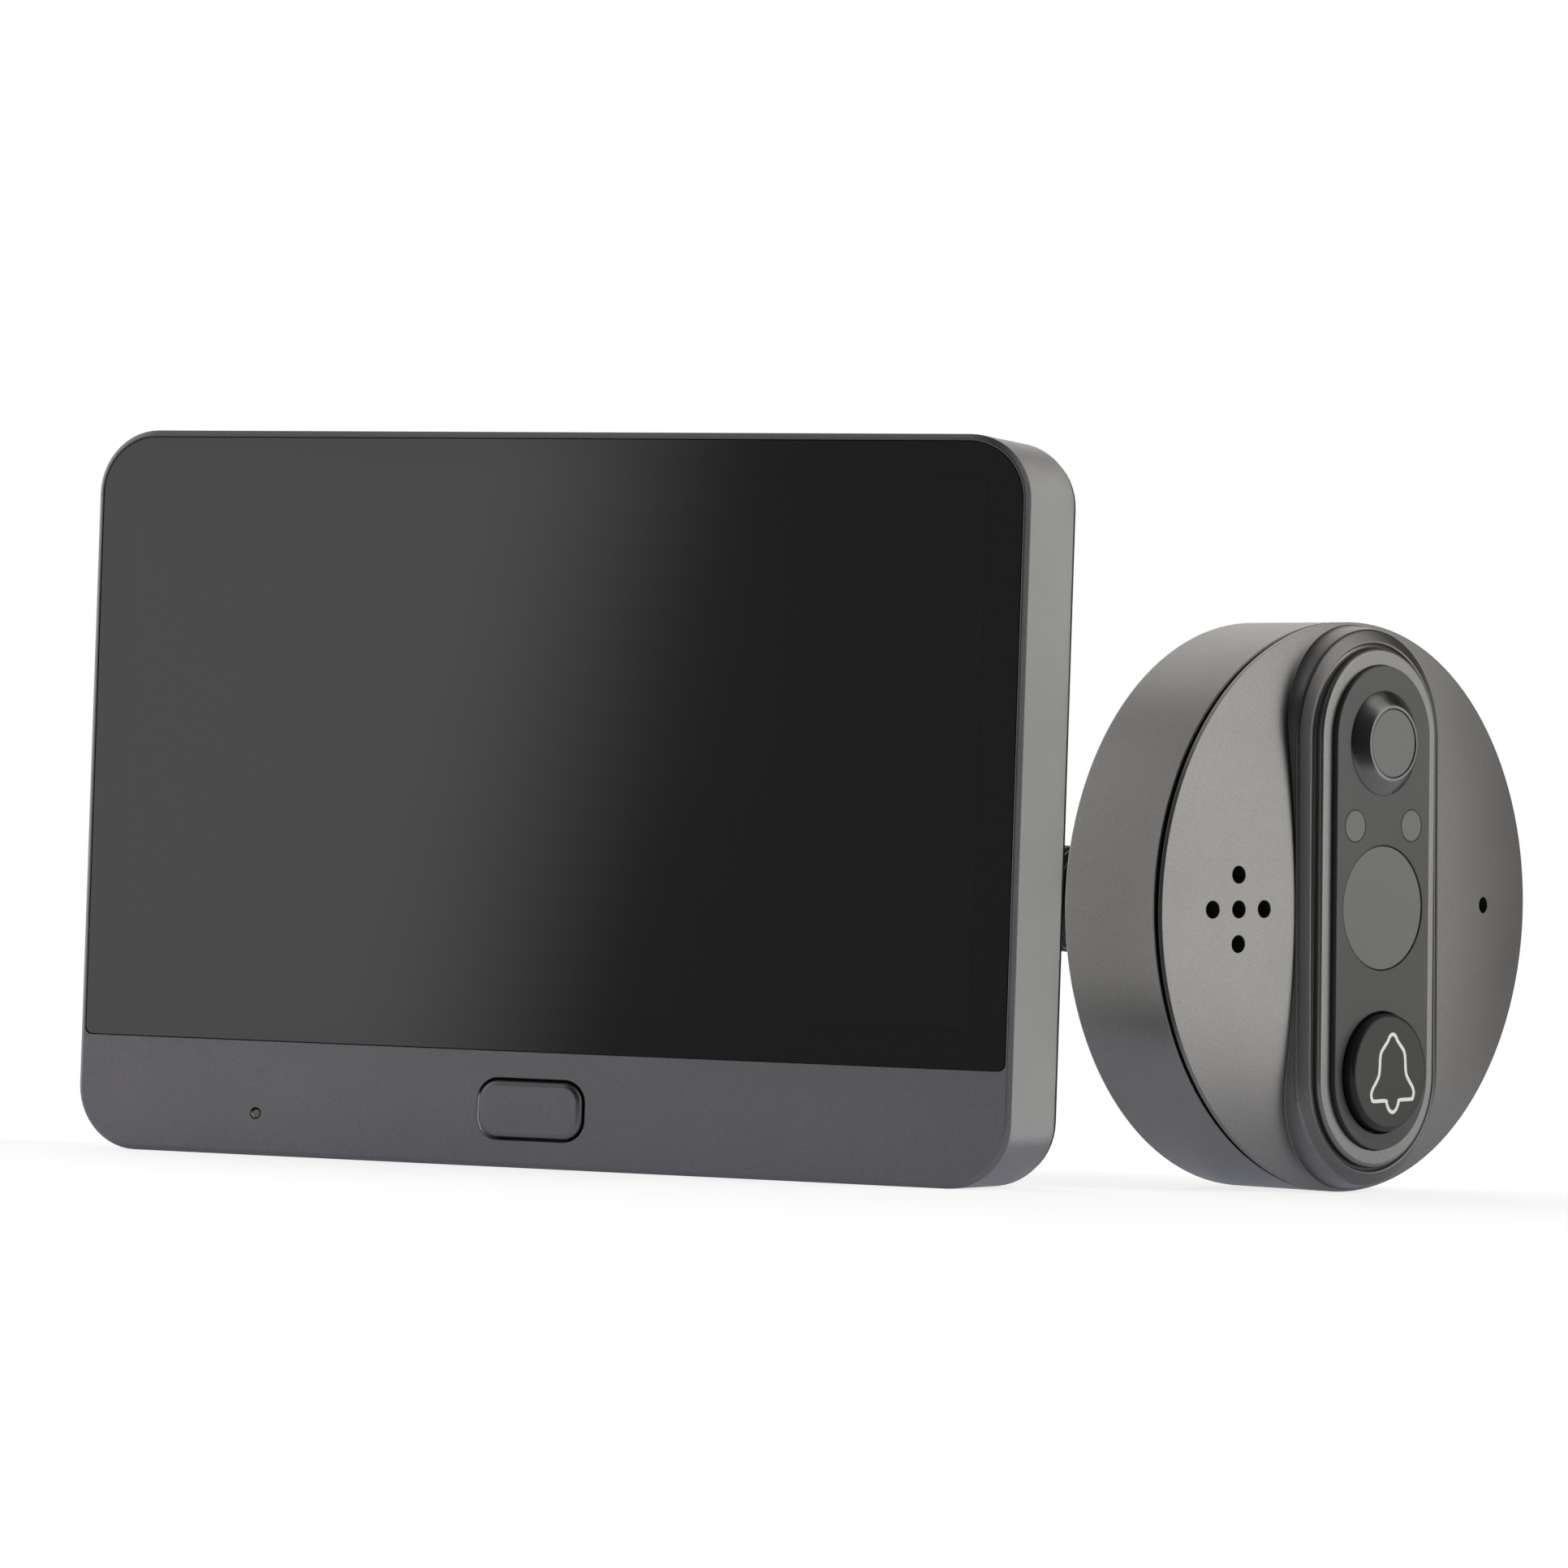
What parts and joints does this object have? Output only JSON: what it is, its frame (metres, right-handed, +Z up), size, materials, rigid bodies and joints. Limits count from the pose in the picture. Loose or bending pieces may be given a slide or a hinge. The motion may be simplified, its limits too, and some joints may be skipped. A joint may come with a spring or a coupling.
{
  "type": "peephole door camera",
  "caption": "Indoor screen unit on a steel door bracket, and a round outdoor unit with camera lens, motion sensor, sound holes and bell button on a threaded barrel.",
  "frame": {"origin": "on the peephole axis, at the bracket's face against the inner door face", "axes": "+X to the right seen from the room, +Y from the room into the door, +Z up"},
  "size_m": [0.1429, 0.0782, 0.0792],
  "materials": {
    "front_frame": "fine metallic dark grey lacquer",
    "screen_glass": "polished black-backed cover glass",
    "lcd_panel": "dark display cell",
    "backlight": "white light guide",
    "view_button": "fine metallic dark grey lacquer",
    "view_stem": "moulded black",
    "view_switch": "tinned can",
    "key_board": "green solder mask",
    "key_board_screws": "zinc plated",
    "status_led": "clear resin over phosphor",
    "light_pipe": "clear light guide",
    "back_cover": "fine black grain",
    "cover_screws": "blackened steel",
    "battery": "foil pouch",
    "main_board": "green solder mask",
    "main_board_screws": "zinc plated",
    "wifi_module": "tinned shield can",
    "usb_socket": "nickel plated shell",
    "cable_socket": "ivory moulding",
    "monitor_speaker": "moulded black",
    "door_bracket": "stamped steel sheet",
    "outdoor_housing": "fine metallic grey lacquer",
    "outdoor_face": "fine metallic grey lacquer",
    "sensor_panel": "dark grey satin",
    "lens_hood": "dark grey satin",
    "lens_window": "coated lens window",
    "camera_module": "moulded black",
    "ir_windows": "smoky grey",
    "ir_leds": "dark clear resin",
    "pir_lens": "milky grey lens film",
    "pir_sensor": "nickel plated can",
    "bell_button": "dark grey satin, pale line sign",
    "bell_stem": "moulded black",
    "bell_switch": "tinned can",
    "outdoor_board": "green solder mask",
    "outdoor_board_screws": "zinc plated",
    "outdoor_speaker": "black frame and dome",
    "microphone": "bare can",
    "microphone_boot": "soft black",
    "housing_screws": "blackened steel",
    "door_gasket": "soft black",
    "threaded_barrel": "blackened, cut thread",
    "clamp_nut": "turned",
    "clamp_washer": "soft black"
  },
  "bodies": {
    "door_set": {"door_bracket": "door_bracket", "outdoor_housing": "outdoor_housing", "outdoor_face": "outdoor_face", "sensor_panel": "sensor_panel", "lens_hood": "lens_hood", "lens_window": "lens_window", "camera_module": "camera_module", "ir_windows": "ir_windows", "ir_leds": "ir_leds", "pir_lens": "pir_lens", "pir_sensor": "pir_sensor", "bell_switch": "bell_switch", "outdoor_board": "outdoor_board", "outdoor_board_screws": "outdoor_board_screws", "outdoor_speaker": "outdoor_speaker", "microphone": "microphone", "microphone_boot": "microphone_boot", "housing_screws": "housing_screws", "door_gasket": "door_gasket", "threaded_barrel": "threaded_barrel"},
    "monitor": {"front_frame": "front_frame", "screen_glass": "screen_glass", "lcd_panel": "lcd_panel", "backlight": "backlight", "view_switch": "view_switch", "key_board": "key_board", "key_board_screws": "key_board_screws", "status_led": "status_led", "light_pipe": "light_pipe", "back_cover": "back_cover", "cover_screws": "cover_screws", "battery": "battery", "main_board": "main_board", "main_board_screws": "main_board_screws", "wifi_module": "wifi_module", "usb_socket": "usb_socket", "cable_socket": "cable_socket", "monitor_speaker": "monitor_speaker"},
    "view_button": {"view_button": "view_button", "view_stem": "view_stem"},
    "bell_button": {"bell_button": "bell_button", "bell_stem": "bell_stem"},
    "clamp_washer": {"clamp_washer": "clamp_washer"},
    "clamp_nut": {"clamp_nut": "clamp_nut"}
  },
  "joints": [
    {"name": "monitor_lift", "type": "slide", "parent": "door_set", "child": "monitor", "axis": [0, 0, 1], "range_m": [0, 0.0046]},
    {"name": "view_button_press", "type": "slide", "parent": "monitor", "child": "view_button", "axis": [0, 1, 0], "range_m": [0, 0.0004], "stiffness_N_per_m": 800, "springref_m": -0.0006},
    {"name": "bell_button_press", "type": "slide", "parent": "door_set", "child": "bell_button", "axis": [-0.9336, 0.3584, 0], "range_m": [0, 0.0006], "stiffness_N_per_m": 800, "springref_m": -0.0008},
    {"name": "washer_travel", "type": "slide", "parent": "door_set", "child": "clamp_washer", "axis": [-0.9336, 0.3584, 0], "range_m": [0, 0.0125]},
    {"name": "nut_spin", "type": "hinge", "parent": "clamp_washer", "child": "clamp_nut", "pos_m": [0.05152, 0.03844, -0.0086], "axis": [-0.9336, 0.3584, 0], "range_deg": [0, 3000]}
  ],
  "couplings": [
    {"joint": "nut_spin", "follows": "washer_travel", "rad_per_m": 4188.8}
  ]
}
